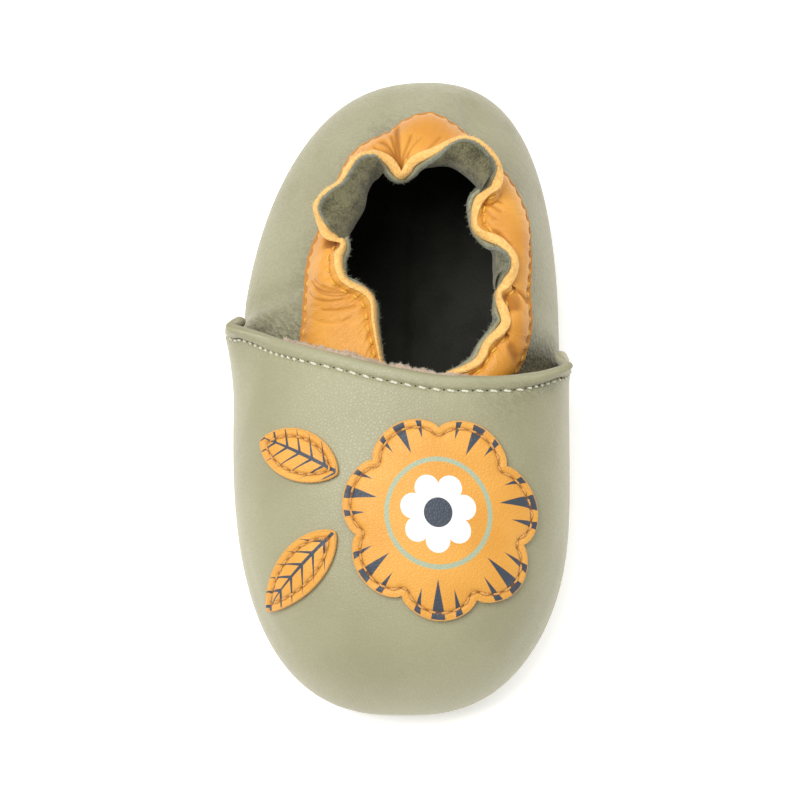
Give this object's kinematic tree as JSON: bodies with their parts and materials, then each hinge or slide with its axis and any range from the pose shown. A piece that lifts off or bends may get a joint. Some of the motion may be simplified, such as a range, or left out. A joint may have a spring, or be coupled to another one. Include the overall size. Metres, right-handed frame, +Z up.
{
  "type": "baby slipper",
  "caption": "Soft-soled leather baby slipper for the right foot: rounded toe panel with a sewn-on flower, wrap-round heel panel and a gathered collar round the open ankle.",
  "frame": {"origin": "on the floor, under the middle of the slipper's bounding box", "axes": "+Y from the toe to the heel, +X towards the medial (inner) side, +Z up"},
  "size_m": [0.0622, 0.12, 0.047],
  "materials": {
    "sage_leather": "smooth satin grain leather, suede side in",
    "mustard_leather": "smooth satin grain leather, gathered",
    "orange_leather": "smooth satin grain leather, printed",
    "dark_insole": "matt fine-grain leather",
    "sole_suede": "brushed suede"
  },
  "bodies": {
    "root": {"outsole": "sole_suede", "insole": "dark_insole", "upper_quarter": "sage_leather", "collar": "mustard_leather", "upper_vamp": "sage_leather", "applique_flower": "orange_leather", "applique_leaf_front": "orange_leather", "applique_leaf_back": "orange_leather"}
  },
  "joints": []
}
